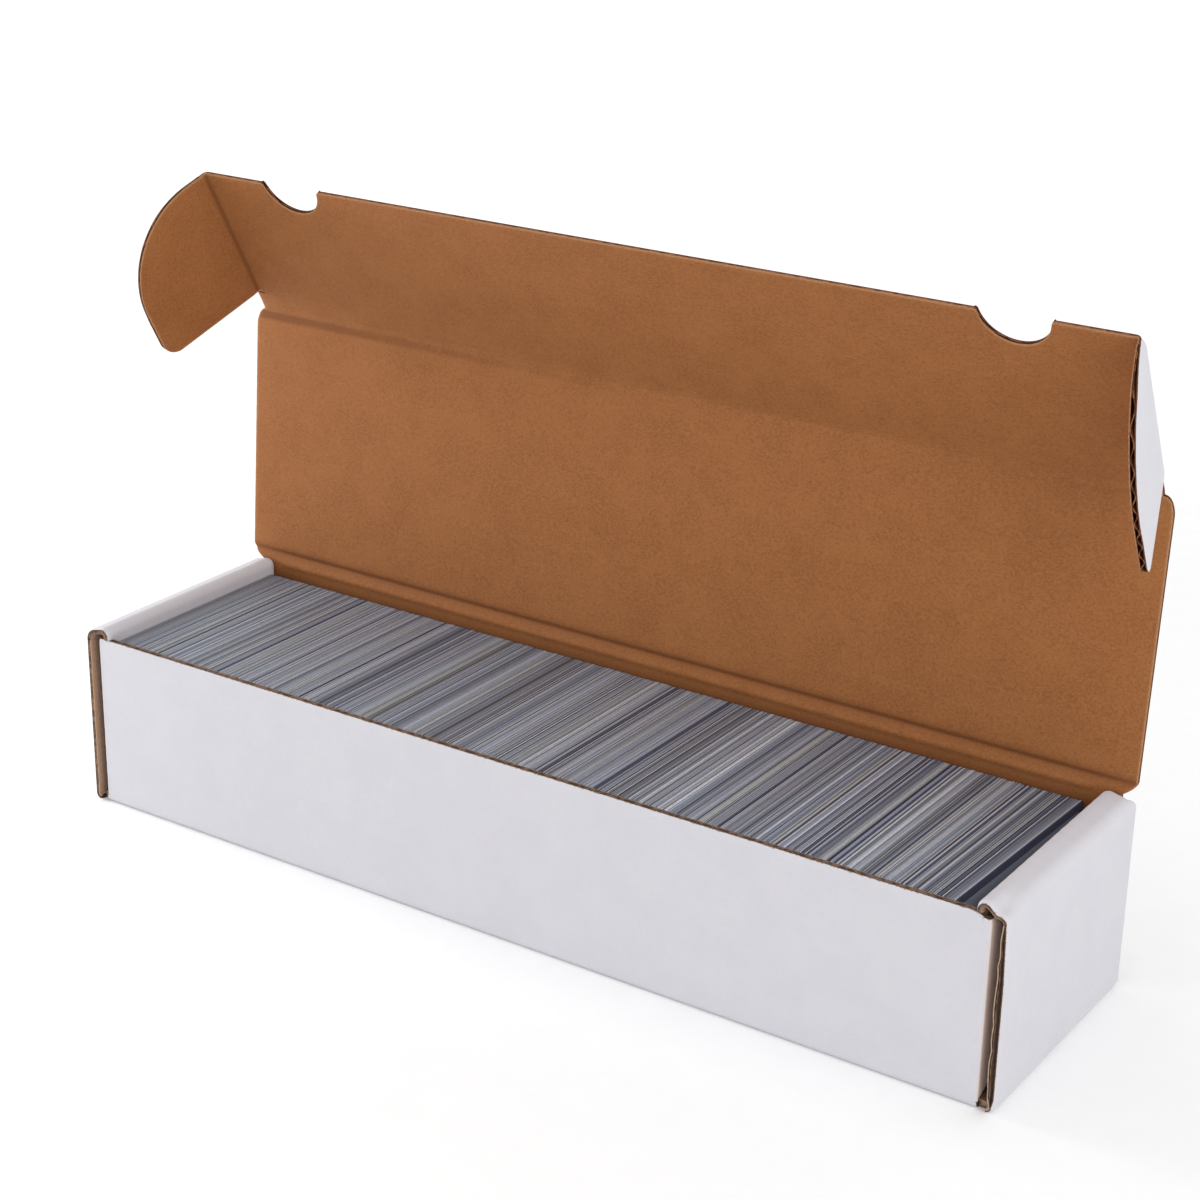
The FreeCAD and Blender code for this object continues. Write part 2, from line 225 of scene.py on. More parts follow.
def white_liner(name, painted_slot_bounce=False):
    """White-topped liner: cool white, faintly clouded and flecked, rubbed to tan along its cuts.

    On the corner flaps it is painted warmer inside the slot: a painted reflection of the light that the brown
    board facing it bounces in.
    """
    mouth, within = 48.6, 47.9
    material, tree, shader, paper = finish_start(name)
    shader.inputs["Specular IOR Level"].default_value = 0.28
    base = mixed(tree, ranged(tree, paper["Cloud"], 0.3, 0.7), (0.640, 0.632, 0.670), (0.618, 0.610, 0.650))
    base = mixed(tree, ranged(tree, paper["Fibre"], 0.35, 0.75, 0.0, 0.35), base, (0.573, 0.565, 0.605))
    if painted_slot_bounce:
        place = put(tree, "ShaderNodeTexCoord").outputs["Object"]
        parts = put(tree, "ShaderNodeSeparateXYZ", {0: place}).outputs
        aside = put(tree, "ShaderNodeMath", {0: parts["Y"]}, operation="ABSOLUTE").outputs[0]
        # Painted reflection: the warm bounce off the brown board, painted in from the slot's mouth inwards.
        base = mixed(tree, ranged(tree, aside, mouth * MM, within * MM), base, (0.90, 0.77, 0.70))
    wear = put(tree, "ShaderNodeGroup", {"Fibre": paper["Fibre"], "Reach": 0.25}, node_tree=WEAR)
    colour = mixed(tree, wear.outputs["Wear"], base, (0.40, 0.29, 0.20))
    rough = ranged(tree, paper["Fibre"], 0.3, 0.7, 0.56, 0.72)
    finish_end(tree, shader, colour, rough, paper["Height"], 0.05, 0.22)
    return material


def kraft_liner(name, tints):
    """Brown kraft liner: long fibres, darker clouds, pale and dark flecks, and paler rubbed edges.

    The tints are the plain paper, its clouds, its pale fibres and its dark ones.
    """
    plain, cloudy, pale, dark = tints
    material, tree, shader, paper = finish_start(name)
    shader.inputs["Specular IOR Level"].default_value = 0.2
    base = mixed(tree, ranged(tree, paper["Cloud"], 0.28, 0.72), plain, cloudy)
    base = mixed(tree, ranged(tree, paper["Fibre"], 0.42, 0.74, 0.0, 0.9), base, pale)
    base = mixed(tree, ranged(tree, paper["Fibre"], 0.52, 0.28, 0.0, 0.75), base, dark)
    base = mixed(tree, ranged(tree, paper["Fleck"], 0.0, 1.0, 0.0, 0.32), base, (0.41, 0.22, 0.11))
    # Darkened along the creases: the scores' own crushed fibres, and painted shade in their grooves and above
    # the cards.
    score_and_painted_shade = put(tree, "ShaderNodeAttribute", attribute_name="score_and_painted_shade").outputs["Fac"]
    base = mixed(tree, ranged(tree, score_and_painted_shade, 0.0, 1.0, 0.0, 0.75), base, (0.17, 0.058, 0.018))
    wear = put(tree, "ShaderNodeGroup", {"Fibre": paper["Fibre"], "Reach": 0.8}, node_tree=WEAR)
    colour = mixed(tree, wear.outputs["Wear"], base, (0.42, 0.22, 0.10))
    rough = ranged(tree, paper["Fibre"], 0.3, 0.7, 0.68, 0.86)
    finish_end(tree, shader, colour, rough, paper["Height"], 0.07, 0.3)
    return material


def cut_liner(name, dark, light):
    """The cut edge of a liner: torn fibres."""
    material, tree, shader, paper = finish_start(name)
    shader.inputs["Specular IOR Level"].default_value = 0.15
    base = mixed(tree, ranged(tree, paper["Fibre"], 0.3, 0.7), dark, light)
    colour = mixed(tree, ranged(tree, paper["Fleck"], 0.0, 1.0, 0.0, 0.6), base, (0.60, 0.45, 0.32))
    rough = ranged(tree, paper["Cloud"], 0.3, 0.7, 0.8, 0.92)
    finish_end(tree, shader, colour, rough, paper["Height"], 0.1, 0.5)
    return material


def flute_core(name, dark, light):
    """Inside the board, on the medium and liners' backs: dull kraft darkened as painted shade in the flutes.
    """
    material, tree, shader, paper = finish_start(name)
    shader.inputs["Specular IOR Level"].default_value = 0.1
    # Painted shade: the core's brown is darkened for the shade inside the flutes.
    base = mixed(tree, ranged(tree, paper["Fibre"], 0.3, 0.7), dark, light)
    rough = ranged(tree, paper["Cloud"], 0.3, 0.7, 0.82, 0.94)
    finish_end(tree, shader, base, rough, paper["Height"], 0.08, 0.4)
    return material


def torn_medium(name, dark, light):
    """The cut edge of the medium: brown fibres with dark spots, painted shade in the knife's pits."""
    material, tree, shader, paper = finish_start(name)
    shader.inputs["Specular IOR Level"].default_value = 0.1
    place = put(tree, "ShaderNodeTexCoord").outputs["Object"]
    # Painted shade: the dark spots stand for shade in the pits that the knife's teeth left.
    pit_shade = ranged(tree, noise(tree, place, 430.0, 2.0), 0.40, 0.60)
    base = mixed(tree, pit_shade, dark, light)
    colour = mixed(tree, ranged(tree, paper["Fibre"], 0.5, 0.75, 0.0, 0.4), base, dark)
    rough = ranged(tree, paper["Cloud"], 0.3, 0.7, 0.82, 0.94)
    finish_end(tree, shader, colour, rough, paper["Height"], 0.1, 0.5)
    return material


def card_edge():
    """The cut edges of the cards: each card's own stock, streaked along its edge."""
    material, tree, shader, paper = finish_start("card_edge")
    shader.inputs["Specular IOR Level"].default_value = 0.35
    stock = put(tree, "ShaderNodeAttribute", attribute_name="stock").outputs["Color"]
    streak = ranged(tree, paper["Fibre"], 0.3, 0.7, 0.0, 0.3)
    colour = mixed(tree, streak, stock, (0.16, 0.16, 0.18))
    rough = ranged(tree, paper["Cloud"], 0.3, 0.7, 0.42, 0.6)
    finish_end(tree, shader, colour, rough, paper["Height"], 0.03, 0.3)
    return material


def card_face():
    """The printed faces of the cards: a plain navy border round a plain slate panel."""
    border_y, border_z, blur = 41.1, 63.0, 0.1
    material, tree, shader, paper = finish_start("card_face")
    place = put(tree, "ShaderNodeTexCoord").outputs["Object"]
    parts = put(tree, "ShaderNodeSeparateXYZ", {0: place}).outputs
    aside = put(tree, "ShaderNodeMath", {0: parts["Y"]}, operation="ABSOLUTE").outputs[0]
    within = ranged(tree, aside, (border_y - blur) * MM, (border_y + blur) * MM, 1.0, 0.0)
    below = ranged(tree, parts["Z"], (border_z - blur) * MM, (border_z + blur) * MM, 1.0, 0.0)
    inset = put(tree, "ShaderNodeMath", {0: within, 1: below}, operation="MULTIPLY").outputs[0]
    slate = mixed(tree, ranged(tree, paper["Cloud"], 0.3, 0.7), (0.255, 0.275, 0.330), (0.285, 0.305, 0.360))
    navy = mixed(tree, ranged(tree, paper["Cloud"], 0.3, 0.7), (0.046, 0.053, 0.090), (0.055, 0.062, 0.102))
    colour = mixed(tree, inset, navy, slate)
    rough = ranged(tree, paper["Fibre"], 0.3, 0.7, 0.28, 0.42)
    finish_end(tree, shader, colour, rough, paper["Height"], 0.02, 0.2)
    return material


def studio_floor():
    """A plain pale floor with the faintest clouding, which glows a little away from the box."""
    near, far, dim, bright = 0.35, 1.1, 0.07, 0.28
    material, tree, shader, paper = finish_start("studio_floor")
    shader.inputs["Emission Color"].default_value = (1.0, 1.0, 1.0, 1.0)
    place = put(tree, "ShaderNodeTexCoord").outputs["Object"]
    away = put(tree, "ShaderNodeVectorMath", {0: place}, operation="LENGTH").outputs["Value"]
    tree.links.new(ranged(tree, away, near, far, dim, bright), shader.inputs["Emission Strength"])
    colour = mixed(tree, ranged(tree, paper["Cloud"], 0.3, 0.7), (0.90, 0.90, 0.90), (0.885, 0.885, 0.885))
    rough = ranged(tree, paper["Cloud"], 0.3, 0.7, 0.8, 0.9)
    finish_end(tree, shader, colour, rough, paper["Cloud"], 0.02, 0.1)
    return material


KRAFT_TINTS = [(0.322, 0.123, 0.039), (0.281, 0.103, 0.032), (0.360, 0.149, 0.052), (0.225, 0.077, 0.0225)]
SHADY_TINTS = [(0.300, 0.198, 0.146), (0.262, 0.170, 0.124), (0.345, 0.235, 0.178), (0.205, 0.128, 0.090)]
BOARD_FINISHES = [
    white_liner("white_liner"),
    kraft_liner("kraft_liner", KRAFT_TINTS),
    cut_liner("cut_liner", (0.24, 0.105, 0.050), (0.42, 0.210, 0.110)),
    flute_core("flute_core", (0.10, 0.036, 0.015), (0.18, 0.068, 0.030)),
    torn_medium("torn_medium", (0.075, 0.026, 0.012), (0.27, 0.110, 0.052)),
]
# Painted shade: greyer copies of the kraft finishes, for the board that lies in shade in the slots and sides.
SHADED_FINISHES = [
    BOARD_FINISHES[0],
    kraft_liner("shaded_kraft", SHADY_TINTS),
    cut_liner("shaded_cut", (0.30, 0.200, 0.135), (0.52, 0.375, 0.265)),
    flute_core("shaded_core", (0.075, 0.046, 0.032), (0.135, 0.088, 0.062)),
    torn_medium("shaded_torn", (0.10, 0.064, 0.046), (0.25, 0.165, 0.118)),
]
# The shaded copies again, with darker cut liner and torn medium for the cut edges that face the front.
SHADED_EDGE_FINISHES = [
    *SHADED_FINISHES[:2],
    cut_liner("edge_cut", (0.17, 0.112, 0.082), (0.28, 0.188, 0.138)),
    SHADED_FINISHES[3],
    torn_medium("edge_torn", (0.075, 0.048, 0.035), (0.21, 0.136, 0.100)),
]
# The corner flaps' white liner carries the painted reflection inside the slots.
FLAP_FINISHES = [white_liner("slot_liner_painted_bounce", painted_slot_bounce=True), *SHADED_EDGE_FINISHES[1:]]
# The shaded copies again, with a paler torn medium for the floor's edges.
FLOOR_FINISHES = [
    *SHADED_FINISHES[:4],
    torn_medium("floor_torn", (0.17, 0.112, 0.080), (0.44, 0.305, 0.225)),
]
WHITE, KRAFT, CUT, CORE, TORN = range(5)
CARD_FINISHES = [card_edge(), card_face()]

# Lines, grids and layers.


def trace(start, heading, moves):
    """A line that runs and turns, with its left-hand normals and its length so far.

    Each move is a length, a turn in degrees and a number of steps. The heading grows evenly along a move,
    and each point is the one before it plus the chord of one step, so a turning move is a true arc.
    """
    length = np.concatenate([np.full(steps, run / steps) for run, _, steps in moves])
    turn = np.concatenate([np.full(steps, np.radians(angle) / steps) for _, angle, steps in moves])
    headings = np.radians(heading) + np.concatenate([[0.0], np.cumsum(turn)])
    chord = length * np.sinc(turn / (2 * np.pi))
    middle = headings[:-1] + turn / 2
    steps = np.stack([chord * np.cos(middle), chord * np.sin(middle)], 1)
    points = np.asarray(start) + np.concatenate([np.zeros((1, 2)), np.cumsum(steps, 0)])
    normals = np.stack([-np.sin(headings), np.cos(headings)], 1)
    return points, normals, np.concatenate([[0.0], np.cumsum(length)])


def carry(points, normals, along, axes, origin=0.0):
    """A line carried along a third axis.

    Each point is its two places times the first two axes, plus the distance along times the third.
    """
    first, second, third = axes
    line = points[:, :1] * first + points[:, 1:] * second
    out = normals[:, :1] * first + normals[:, 1:] * second
    along = np.broadcast_to(along, (len(points), np.shape(along)[-1]))
    middle = origin + line[:, None, :] + along[..., None] * third
    return middle, np.broadcast_to(out[:, None, :], middle.shape)


def spaced(low, high, step, extra=()):
    """Even places from low to high, closer together near both ends, with some extra ones."""
    even = np.linspace(low, high, max(2, int(round((high - low) / step)) + 1))
    inner = even[(even > low + EDGE_STEPS[-1]) & (even < high - EDGE_STEPS[-1])]
    return np.unique(np.concatenate([low + EDGE_STEPS, inner, high - EDGE_STEPS, extra]).round(4))


def steps_of(length, step=FLUTE_STEP):
    """How many steps a length takes, each of them no longer than the step."""
    return max(2, int(np.ceil(length / step)))


def bell(places, centre, width):
    """A bell curve: one at its centre, and falling by the squared distance from it over its width."""
    return np.exp(-(((places - centre) / width) ** 2))


def slab(low, high, cells, faced, flipped):
    """A closed layer between two grids of points, where cells says which cells of the grid are board.

    The upper and lower grids give the faces. A wall stands on each grid line that has board on one side only.
    """
    rows, columns = low.shape[:2]
    index = np.arange(rows * columns).reshape(rows, columns)
    quads = np.stack([index[:-1, :-1], index[1:, :-1], index[1:, 1:], index[:-1, 1:]], -1)[cells]
    lift = rows * columns
    around = np.pad(cells, 1)
    faces = [quads + lift, quads[:, ::-1]]
    marks = [np.full(len(quads), faced[0]), np.full(len(quads), faced[1])]
    lines = (
        (index[:, :-1], index[:, 1:], around[:-1, 1:-1], around[1:, 1:-1]),
        (index[1:, :], index[:-1, :], around[1:-1, :-1], around[1:-1, 1:]),
    )
    for first, second, before, after in lines:
        wall = np.stack([first + lift, second + lift, second, first], -1)
        faces += [wall[after & ~before], wall[before & ~after][:, ::-1]]
        marks.append(np.full(len(faces[-1]) + len(faces[-2]), faced[2]))
    faces = np.concatenate(faces)
    points = np.concatenate([low.reshape(-1, 3), high.reshape(-1, 3)])
    return points, faces[:, ::-1] if flipped else faces, np.concatenate(marks)


def board(
    middle, out, across, cells=None, shut=FAR, cut=FAR, press=0.0, inside=HALF, outside=HALF, score_and_painted_shade=0.0,
    crush=SHUT_CRUSH, hollow=False, plug=False,
):
    """Corrugated board round a middle surface: two liners and a wavy medium.

    Each layer is the middle surface moved along its outward normal. The liners lie half a board away, sag
    between the flutes and close in at a cut by bell curves. The medium is a cosine of the distance across
    the flutes. At a plug, or a cut that runs along the flutes, it is mashed and fills the board; where such
    a cut is hollow it stops short. Press is how deep a score is pressed into the inside.
    """
    shape = middle.shape[:2]
    across, shut, cut = (np.broadcast_to(given, shape) for given in (across, shut, cut))
    press, score_and_painted_shade = (np.broadcast_to(given, shape) for given in (press, score_and_painted_shade))
    cells = np.ones((shape[0] - 1, shape[1] - 1), bool) if cells is None else cells
    hollow = np.broadcast_to(hollow, shape)
    short = hollow[:-1, :-1] & hollow[1:, 1:] & ((shut[:-1, :-1] + shut[1:, 1:]) / 2 < HOLLOW_REACH)
    within = cells & ~short
    wave = np.cos(2 * np.pi * across / FLUTE_PITCH)
    closing = crush * bell(shut, 0.0, CRUSH_REACH) + CUT_CRUSH * bell(cut, 0.0, CRUSH_REACH)
    top = outside - closing - WASHBOARD * (1 - wave)
    base = -inside + closing + WASHBOARD * (1 + wave) + press
    under, over = top - LINER, base + LINER
    gap = np.maximum((under - over) / 2, LEAST_GAP)
    mashed = np.broadcast_to(plug, shape) | ((shut < MASH_REACH) & ~hollow)
    thick = np.where(mashed, gap, np.minimum(MEDIUM / 2, gap))
    centre = (under + over) / 2 + wave * (gap - thick)
    across_lines = np.cross(middle[1:, :-1] - middle[:-1, :-1], middle[:-1, 1:] - middle[:-1, :-1])
    flipped = (across_lines * out[:-1, :-1]).sum() < 0
    layers = (
        (under, top, cells, (WHITE, CORE, CORE)),
        (base, over, cells, (CORE, KRAFT, CUT)),
        (centre - thick, centre + thick, within, (CORE, CORE, TORN)),
    )
    made = [
        slab(middle + out * low[..., None], middle + out * high[..., None], kept, faced, flipped)
        for low, high, kept, faced in layers
    ]
    offsets = np.cumsum([0] + [len(points) for points, _, _ in made])
    return {
        "points": np.concatenate([points for points, _, _ in made]),
        "faces": np.concatenate([faces + offset for (_, faces, _), offset in zip(made, offsets)]),
        "marks": np.concatenate([marks for _, _, marks in made]),
        "edge_mm": np.tile(np.minimum(shut, cut).ravel(), 2 * len(layers)),
        "score_and_painted_shade": np.tile(score_and_painted_shade.ravel(), 2 * len(layers)),
    }


def mesh_of(name, points, faces, marks, finishes, sharp_angle):
    """A mesh in metres from points in millimetres, smooth apart from edges sharper than an angle."""
    mesh = bpy.data.meshes.new(name)
    mesh.from_pydata(np.asarray(points) * MM, [], faces)
    for finish in finishes:
        mesh.materials.append(finish)
    mesh.polygons.foreach_set("material_index", np.asarray(marks, np.int32))
    mesh.polygons.foreach_set("use_smooth", np.ones(len(marks), bool))
    mesh.update()
    mesh.set_sharp_from_angle(angle=np.radians(sharp_angle))
    return mesh


def linked(name, data):
    """A new object with its mesh, lamp or lens, in the scene."""
    piece = bpy.data.objects.new(name, data)
    bpy.context.scene.collection.objects.link(piece)
    return piece


def board_piece(name, made, finishes):
    """One piece of board, without the points that no face uses.

    The distance to its cuts and how much its scores darken it, partly as painted shade, are kept on its
    points.
    """
    sharp_angle = 40.0
    used = np.unique(made["faces"])
    renumber = np.zeros(len(made["points"]), int)
    renumber[used] = np.arange(len(used))
    faces = renumber[made["faces"]]
    mesh = mesh_of(name, made["points"][used], faces.tolist(), made["marks"], finishes, sharp_angle)
    for key in ("edge_mm", "score_and_painted_shade"):
        kept = mesh.attributes.new(key, "FLOAT", "POINT")
        kept.data.foreach_set("value", made[key][used].astype(np.float32))
    piece = linked(name, mesh)
    return piece


def panel(name, made, node, body="tray", finishes=BOARD_FINISHES):
    """A piece of board that stands for one packed panel and moves with its body."""
    piece = board_piece(name, made, finishes)
    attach(piece, body)
    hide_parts(node)
    return piece


def sway(middle, out, size, rows, columns, waves=1.0):
    """The middle surface bowed out by a product of sines that is nil at its borders.

    Board never lies flat. Rows and columns are each point's share of the way across the panel.
    """
    bow = np.sin(np.pi * rows.clip(0, 1))[:, None] * np.sin(np.pi * waves * columns.clip(0, 1))[None, :]
    return middle + out * (size * bow)[..., None]


def share_of(places, low, high):
    """How far places lie from low to high, as a share of the way."""
    return (places - low) / (high - low)


def sheet_places(half, extra=()):
    """Places across a wide sheet, closer together near both ends, where its edge is pressed."""
    near = np.concatenate([half - PRESS_STEPS, extra])
    return spaced(-half, half, SHEET_STEP, np.concatenate([near, -near]))


def pressed(left, depth):
    """How far the outer liner lies from the middle: less along an edge, by a bell curve."""
    return HALF - depth * bell(left, 0.0, PRESS_REACH)


# The tray.


def floor_fold(run):
    """How far the inner liner lies from the middle: closer at the fold up from the floor."""
    return np.interp(run, [0.0, FLOOR_FOLD, FLOOR_FOLD + 1.0], [FOLD_INSIDE, FOLD_INSIDE, HALF])[:, None]


def bottom_panel():
    """The floor, a flat grid with four slots left open for the inner walls' tabs."""
    near, far = INNER_X - TAB_GAP, INNER_X + BOARD + TAB_GAP
    slot_low, slot_high = TAB_Y - (TAB_HALF + TAB_GAP), TAB_Y + (TAB_HALF + TAB_GAP)
    lines = np.array([slot_low, slot_high])
    run = np.unique(np.concatenate([np.arange(-INNER_Y, INNER_Y, FLUTE_STEP), [INNER_Y], lines, -lines]))
    limits = np.array([near, far, SLOT_X])
    along = np.unique(np.concatenate([np.linspace(-OUTER_X, OUTER_X, 25), limits, -limits]))
    points = np.stack([run, np.zeros_like(run)], 1)
    normals = np.broadcast_to([0.0, 1.0], points.shape)
    middle, out = carry(points, normals, along, (Y, -Z, X), HALF * Z)
    places_y = np.abs((run[1:] + run[:-1]) / 2)[:, None]
    places_x = np.abs((along[1:] + along[:-1]) / 2)[None, :]
    slots = (places_x > near) & (places_x < far) & (places_y > slot_low) & (places_y < slot_high)
    shut = np.where(np.abs(along) >= SLOT_X, (INNER_Y - np.abs(run))[:, None], FAR)
    made = board(middle, out, run[:, None], ~slots, shut, crush=0.0)
    panel("bottom_board", made, "bottom_panel", finishes=FLOOR_FINISHES)


def long_wall_places(limits, count):
    """Places along a long wall, with a line at each place where its width changes."""
    limits = np.array(limits)
    return np.unique(np.concatenate([np.linspace(-FLAP_X, FLAP_X, count), limits, -limits]))


def cell_middles(points, along):
    """The height and the distance from the middle of the box of each cell of a long wall."""
    heights = ((points[1:, 1] + points[:-1, 1]) / 2)[:, None]
    return heights, np.abs((along[1:] + along[:-1]) / 2)[None, :]


def front_wall():
    """The front wall: up from the floor by a quarter round, then straight to its cut top edge.

    The quarter round runs on below the corner flaps. At the right one the top edge falls away by a parabola.
    """
    shoulder, from_z, bow, waves = 4.5, 56.0, 0.22, 5.0
    height = FRONT_TOP - BOARD
    moves = [(FLOOR_FOLD, -90.0, 8), (height, 0.0, steps_of(height))]
    points, normals, run = trace((-INNER_Y, HALF), 180.0, moves)
    along = long_wall_places(np.append(np.linspace(FLAP_X - shoulder, FLAP_X, 9), SLOT_X), 41)
    middle, out = carry(points, normals, along, (Y, Z, X))
    drop = (FRONT_TOP - CORNER_TOP) * share_of(along, FLAP_X - shoulder, FLAP_X).clip(0, 1) ** 2
    middle = middle - (share_of(points[:, 1], from_z, FRONT_TOP).clip(0, 1)[:, None] * drop)[..., None] * Z
    rows, columns = share_of(run, FLOOR_FOLD, run[-1]), share_of(along, -FLAP_X, FLAP_X)
    middle = sway(middle, out, bow, rows, columns, waves)
    heights, widths = cell_middles(points, along)
    cells = (widths < FLAP_X) | (heights < BOARD)
    across = (run + BOARD - FLOOR_FOLD)[:, None]
    shut = (run[-1] - run)[:, None]
    plug = np.abs(along) == SLOT_X
    crush = np.interp(along, [FLAP_X - shoulder, FLAP_X], [SHUT_CRUSH, EDGE_CRUSH["right"]])
    made = board(middle, out, across, cells, shut, inside=floor_fold(run), crush=crush, plug=plug)
    panel("front_board", made, "front_wall", finishes=SHADED_EDGE_FINISHES)


def rear_wall():
    """The rear wall: up from the floor by a quarter round, then straight to the strip bent at the hinge.

    It is wider above and below the corner flaps.
    """
    height = HINGE_Z - CREST_REACH - BOARD
    moves = [(FLOOR_FOLD, -90.0, 8), (CORNER_TOP - BOARD, 0.0, steps_of(CORNER_TOP - BOARD))]
    moves.append((height - CORNER_TOP + BOARD, 0.0, 5))
    points, normals, run = trace((-INNER_Y, HALF), 180.0, moves)
    along = long_wall_places([*CREST_ENDS, SLOT_X, HINGE_END, *(HINGE_END - PRESS_STEPS)], 25)
    middle, out = carry(points, normals, along, (-Y, Z, X))
    heights, widths = cell_middles(points, along)
    cells = (widths < FLAP_X) | (heights > CORNER_TOP) | ((heights < BOARD) & (widths < SLOT_X))
    cut = HINGE_END - np.abs(along)[None, :]
    across = (run + BOARD - FLOOR_FOLD)[:, None]
    distance = points[:, 1] - HINGE_Z
    # Painted shade in the hinge groove and a painted shadow above the cards.
    press, score_and_painted_shade = hinge_score(distance, along), hinge_shade(distance)
    free = np.where(points[:, 1:] > CORNER_TOP, cut, FAR)
    outside = pressed(free, LID_PRESS)
    made = board(middle, out, across, cells, FAR, free, press, floor_fold(run), outside, score_and_painted_shade)
    panel("rear_board", made, "rear_wall")


def outer_wall(word, side):
    """A side wall: up from the floor by a quarter round, then straight to the rim. Its flutes stand upright.

    Its top edge is drawn in a hair below the rim's lap. The right one's front edge gapes, less towards the
    rim. There a wandering sine, damped by a bell curve, ripples its inner liner.
    """
    bow, drawn_in = 0.25, 0.05
    gape_low, gape_high, gape_crush = 4.0, 46.0, 0.05
    depth, wave, wander, wander_wave, reach = 0.24, 1.9, 1.4, 4.3, 2.2
    moves = [(FLOOR_FOLD, -90.0, 8), (BEND_Z - BOARD, 0.0, 22)]
    points, normals, run = trace((-OUTER_X, HALF), 180.0, moves)
    along = spaced(-EDGE_Y, EDGE_Y, FLUTE_STEP)
    middle, out = carry(points, normals, along, (-side * X, Z, Y))
    middle = sway(middle, out, bow, share_of(run, FLOOR_FOLD, run[-1]), share_of(along, -EDGE_Y, EDGE_Y))
    shut = (EDGE_Y - np.abs(along))[None, :]
    height = points[:, 1:]
    gaping = (word == "right") & (height > gape_low) & (along < 0)
    wandering = np.sin(height / wave + wander * np.sin(height / wander_wave))
    ripple = depth * wandering * bell(along, -EDGE_Y, reach)
    inside = floor_fold(run) + gaping * ripple
    crush = EDGE_CRUSH[word]
    crush = np.where(gaping, np.interp(height, [gape_high, BEND_Z], [gape_crush, crush]), crush)
    outside = np.where(run < run[-1], HALF, HALF - drawn_in)[:, None]
    across = along[None, :] + SIDE_PHASE
    made = board(
        middle, out, across, shut=shut, inside=inside, outside=outside, crush=crush, hollow=gaping
    )
    panel(f"{word}_outer_board", made, f"{word}_outer_wall", finishes=SHADED_FINISHES)


def rim(word, side):
    """The rolled top of a side wall: an outer bend, a sloping strip and a fold down into the box.

    It laps the wall's top edge. A squared sine times a bell curve dents the right one's outer bend at its
    front end. The back end slants from the wall's end to the rear wall's face.
    """
    dent, dent_reach, lap = (1.7 if word == "right" else 0.0), 11.0, 0.3
    turn = 90.0 - RIM_SLOPE
    moves = [
        (lap, 0.0, 1),
        ((RIM_BEND - HALF) * np.radians(turn), -turn, 14),
        (RIM_STRIP, 0.0, 4),
        ((RIM_FOLD - HALF) * np.radians(180.0 - turn), turn - 180.0, 14),
        (FOLD_Z - SEAM_Z, 0.0, 2),
    ]
    points, normals, run = trace((HALF - SIDE_X, BEND_Z - lap), 90.0, moves)
    along = spaced(-EDGE_Y, RIM_BACK, FLUTE_STEP)
    back = np.interp(-points[:, :1], [HINGE_X, SIDE_X - HALF], [RIM_BACK, EDGE_Y])
    reached = -EDGE_Y + (along + EDGE_Y) * (back + EDGE_Y) / (RIM_BACK + EDGE_Y)
    middle, out = carry(points, normals, reached, (-side * X, Z, Y))
    bent = np.sin(np.pi * share_of(run, lap, lap + moves[1][0] + moves[2][0]).clip(0, 1)) ** 2
    middle = middle - out * (dent * bent[:, None] * bell(along, -EDGE_Y, dent_reach))[..., None]
    shut = np.minimum(EDGE_Y + along, RIM_BACK - along)[None, :]
    made = board(middle, out, along[None, :] + SIDE_PHASE, shut=shut, crush=EDGE_CRUSH[word])
    panel(f"{word}_rim_board", made, f"{word}_rim", finishes=SHADED_EDGE_FINISHES)


def inner_wall(word, side):
    """The inner ply of a side wall, with two tapered tabs that reach down into the floor's slots."""
    clearance, tip, rows = 0.1, 0.3, 24
    end = INNER_Y - clearance
    knees = TAB_Y + np.array([-TAB_HALF, TAB_TAPER - TAB_HALF, TAB_HALF - TAB_TAPER, TAB_HALF])
    knees = np.concatenate([-knees[::-1], knees])
    along = spaced(-end, RIM_BACK, FLUTE_STEP, knees)
    foot = np.interp(along, knees, [FLOOR_Z, tip, tip, FLOOR_Z] * 2)
    share = np.linspace(0, 1, rows)[:, None]
    heights = SEAM_Z + (foot[None, :] - SEAM_Z) * share
    middle = (side * (INNER_X + HALF)) * X + heights[..., None] * Z + along[None, :, None] * Y
    out = np.broadcast_to(-side * X, middle.shape)
    shut = np.minimum(end + along, RIM_BACK - along)[None, :]
    cut = heights - foot[None, :]
    made = board(middle, out, along[None, :] + SIDE_PHASE, shut=shut, cut=cut, crush=EDGE_CRUSH[word])
    panel(f"{word}_inner_board", made, f"{word}_inner_wall", finishes=SHADED_EDGE_FINISHES)


